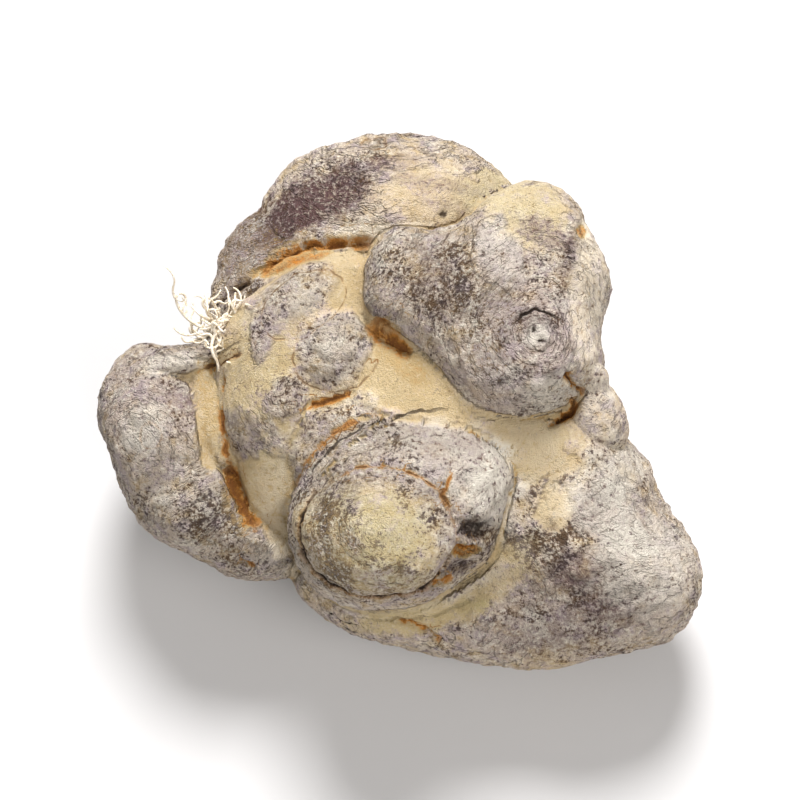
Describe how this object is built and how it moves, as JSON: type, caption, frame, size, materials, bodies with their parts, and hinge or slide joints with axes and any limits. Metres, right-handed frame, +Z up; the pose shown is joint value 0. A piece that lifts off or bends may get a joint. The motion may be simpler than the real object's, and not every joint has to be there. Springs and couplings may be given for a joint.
{
  "type": "dried notoginseng root",
  "caption": "Whole dried notoginseng root (sanqi), a hard knobbly tuber with warty lobes, a collared front knob and a blunt main root, resting on trimmed branch stubs.",
  "frame": {"origin": "centre of the bounding box's bottom, on the plane that the trimmed branch stubs rest on", "axes": "+X towards the blunt end of the main root, +Y towards the back of the crown, +Z up"},
  "size_m": [0.0476, 0.041, 0.0279],
  "materials": {
    "root_skin": "dry matt root skin, grey-violet and peppery on what stands proud, smooth cream in the hollows and orange-brown in the deepest cracks"
  },
  "bodies": {
    "root": {"notoginseng_root": "root_skin"}
  },
  "joints": []
}
